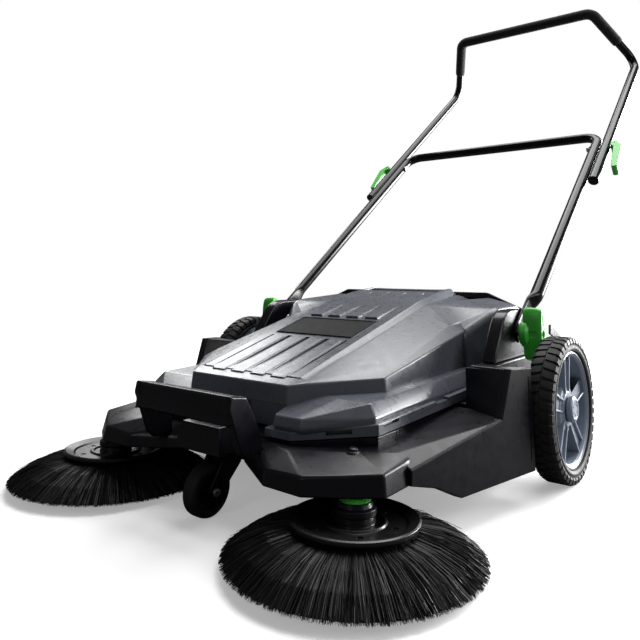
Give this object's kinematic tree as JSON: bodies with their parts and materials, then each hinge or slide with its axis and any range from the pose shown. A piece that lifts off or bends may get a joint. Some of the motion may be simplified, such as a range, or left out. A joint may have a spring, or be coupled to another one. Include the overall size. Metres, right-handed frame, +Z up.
{
  "type": "walk behind sweeper",
  "caption": "Push floor sweeper with a ribbed grey bin hood, slanted side brushes, driven roller, front swivel caster and a folding tube handle.",
  "frame": {"origin": "on the floor, at the bottom centre of the whole machine's bounding box at rest", "axes": "+Z up, +Y from the brushes towards the push handle along the machine, +X to the right-hand wheel as seen from the front"},
  "size_m": [0.8004, 1.6247, 1.1605],
  "materials": {
    "hood_grey": "satin blue-grey moulded plastic",
    "body_black": "satin black moulded plastic, fine texture",
    "lime_green": "satin lime green plastic",
    "wheel_grey": "satin grey wheel plastic",
    "tyre_rubber": "matte black tread rubber",
    "flap_rubber": "matte rubber strip",
    "tube_black": "gloss black powder coat on steel tube",
    "foam_black": "matte closed-cell foam",
    "bristle_black": "black bristles",
    "ring_black": "gloss black plastic",
    "gear_nylon": "natural nylon",
    "zinc_steel": "zinc plated steel",
    "label_dark": "blank dark plate"
  },
  "bodies": {
    "chassis": {"chassis_shell": "body_black", "front_carry_handle": "body_black", "tower_left": "body_black", "tower_right": "body_black", "rear_cover": "body_black", "axle_left": "zinc_steel", "axle_right": "zinc_steel", "seal_flap": "flap_rubber", "pod_screw_left": "zinc_steel", "pod_screw_right": "zinc_steel", "brush_gearbox_left": "gear_nylon", "brush_gearbox_right": "gear_nylon", "roller_bearing_left": "gear_nylon", "roller_bearing_right": "gear_nylon", "pivot_bolt_left": "zinc_steel", "pivot_bolt_right": "zinc_steel"},
    "debris_bin": {"hood_shell": "hood_grey", "label_plate": "label_dark", "bin_tray": "body_black", "bin_grip": "hood_grey"},
    "bin_latch": {"bin_latch": "body_black"},
    "lower_handle": {"lower_handle_tube": "tube_black"},
    "upper_handle": {"upper_handle_tube": "tube_black", "foam_grip": "foam_black", "lever_bolt_left": "zinc_steel", "lever_bolt_right": "zinc_steel"},
    "cam_lever_left": {"cam_lever_left": "lime_green"},
    "cam_lever_right": {"cam_lever_right": "lime_green"},
    "knob_left": {"clamp_knob_left": "lime_green"},
    "knob_right": {"clamp_knob_right": "lime_green"},
    "wheel_left": {"tyre_left": "tyre_rubber", "rim_left": "wheel_grey", "hub_cap_left": "wheel_grey"},
    "wheel_right": {"tyre_right": "tyre_rubber", "rim_right": "wheel_grey", "hub_cap_right": "wheel_grey", "drive_gear": "gear_nylon"},
    "roller": {"roller_core": "zinc_steel", "roller_bristles": "bristle_black", "roller_pinion": "gear_nylon"},
    "side_brush_left": {"brush_bristles_left": "bristle_black", "brush_ring_left": "ring_black", "brush_spindle_left": "body_black", "brush_collar_left": "lime_green"},
    "side_brush_right": {"brush_bristles_right": "bristle_black", "brush_ring_right": "ring_black", "brush_spindle_right": "body_black", "brush_collar_right": "lime_green"},
    "caster_fork": {"caster_fork": "body_black", "caster_axle_bolt": "zinc_steel"},
    "caster_wheel": {"caster_tyre": "tyre_rubber", "caster_hub": "body_black"}
  },
  "joints": [
    {"name": "bin_lift", "type": "slide", "parent": "chassis", "child": "debris_bin", "axis": [0, 0, 1], "range_m": [0, 0.15]},
    {"name": "bin_latch_swing", "type": "hinge", "parent": "debris_bin", "child": "bin_latch", "pos_m": [0, -0.6222, 0.148], "axis": [-1, 0, 0], "range_deg": [0, 50]},
    {"name": "handle_pivot", "type": "hinge", "parent": "chassis", "child": "lower_handle", "pos_m": [0, -0.21616, 0.22875], "axis": [1, 0, 0], "range_deg": [0, 120]},
    {"name": "upper_handle_fold", "type": "hinge", "parent": "lower_handle", "child": "upper_handle", "pos_m": [0, 0.34581, 0.64611], "axis": [1, 0, 0], "range_deg": [-150, 0], "stiffness_Nm_per_rad": 60},
    {"name": "cam_lever_right_swing", "type": "hinge", "parent": "upper_handle", "child": "cam_lever_right", "pos_m": [0.34, 0.34581, 0.64611], "axis": [0, -0.5962, 0.8028], "range_deg": [0, 110]},
    {"name": "cam_lever_left_swing", "type": "hinge", "parent": "upper_handle", "child": "cam_lever_left", "pos_m": [-0.34, 0.34581, 0.64611], "axis": [0, 0.5962, -0.8028], "range_deg": [0, 110]},
    {"name": "knob_right_turn", "type": "hinge", "parent": "chassis", "child": "knob_right", "pos_m": [0.29, -0.21616, 0.22875], "axis": [1, 0, 0], "continuous": true},
    {"name": "knob_left_turn", "type": "hinge", "parent": "chassis", "child": "knob_left", "pos_m": [-0.29, -0.21616, 0.22875], "axis": [1, 0, 0], "continuous": true},
    {"name": "wheel_right_spin", "type": "hinge", "parent": "chassis", "child": "wheel_right", "pos_m": [0.357, -0.2247, 0.114], "axis": [1, 0, 0], "continuous": true},
    {"name": "wheel_left_spin", "type": "hinge", "parent": "chassis", "child": "wheel_left", "pos_m": [-0.357, -0.2247, 0.114], "axis": [1, 0, 0], "continuous": true},
    {"name": "roller_spin", "type": "hinge", "parent": "chassis", "child": "roller", "pos_m": [0, -0.2669, 0.052], "axis": [1, 0, 0], "continuous": true},
    {"name": "side_brush_right_spin", "type": "hinge", "parent": "chassis", "child": "side_brush_right", "pos_m": [0.2424, -0.6547, 0.0062], "axis": [0, 0.0349, 0.9994], "continuous": true},
    {"name": "side_brush_left_spin", "type": "hinge", "parent": "chassis", "child": "side_brush_left", "pos_m": [-0.2424, -0.6547, 0.0062], "axis": [0, 0.0349, 0.9994], "continuous": true},
    {"name": "caster_swivel", "type": "hinge", "parent": "chassis", "child": "caster_fork", "pos_m": [0, -0.6367, 0.08], "axis": [0, 0, 1], "continuous": true},
    {"name": "caster_wheel_spin", "type": "hinge", "parent": "caster_fork", "child": "caster_wheel", "pos_m": [0, -0.6697, 0.035], "axis": [1, 0, 0], "continuous": true}
  ],
  "couplings": [
    {"joint": "roller_spin", "follows": "wheel_right_spin", "ratio": -4},
    {"joint": "side_brush_right_spin", "follows": "wheel_right_spin", "ratio": -2.5},
    {"joint": "side_brush_left_spin", "follows": "wheel_left_spin", "ratio": 2.5}
  ]
}
